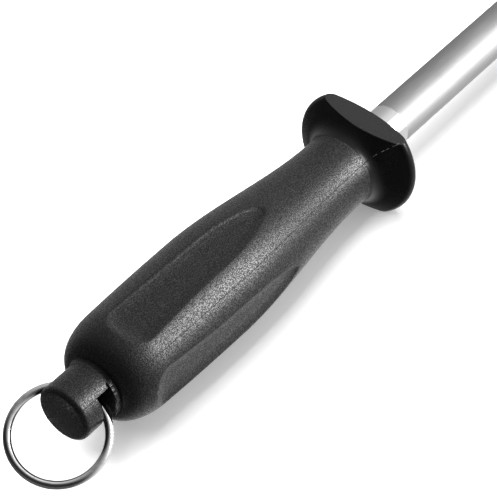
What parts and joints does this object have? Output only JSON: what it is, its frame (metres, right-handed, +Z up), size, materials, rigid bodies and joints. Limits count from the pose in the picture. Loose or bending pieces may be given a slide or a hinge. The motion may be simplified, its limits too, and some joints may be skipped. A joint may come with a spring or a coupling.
{
  "type": "knife sharpening steel",
  "caption": "Round butcher's sharpening steel: a fine-cut steel rod in a contoured black moulded grip, with a flat-sided hand guard and a loose hanging ring.",
  "frame": {"origin": "on the rod's axis, where the rod leaves the hand guard's front face", "axes": "+X along the rod to its tip, +Z up and square to the hand guard's two flats, +Y to the left when looking along the rod"},
  "size_m": [0.4453, 0.0386, 0.029],
  "materials": {
    "rod_steel": "hard chromium-plated steel with a fine lengthwise cut, satin",
    "guard_plastic": "smooth satin black moulded plastic",
    "grip_plastic": "black moulded plastic with a fine spark-eroded grain",
    "ring_wire": "polished nickel-plated wire"
  },
  "bodies": {
    "steel": {"steel_rod": "rod_steel", "hand_guard": "guard_plastic", "grip": "grip_plastic"},
    "ring": {"hanging_ring": "ring_wire"}
  },
  "joints": [
    {"name": "ring_swing", "type": "hinge", "parent": "steel", "child": "ring", "pos_m": [-0.12025, 0, -0.0003], "axis": [-0.1343, 0.9819, 0.1336], "range_deg": [-64, 40]}
  ]
}
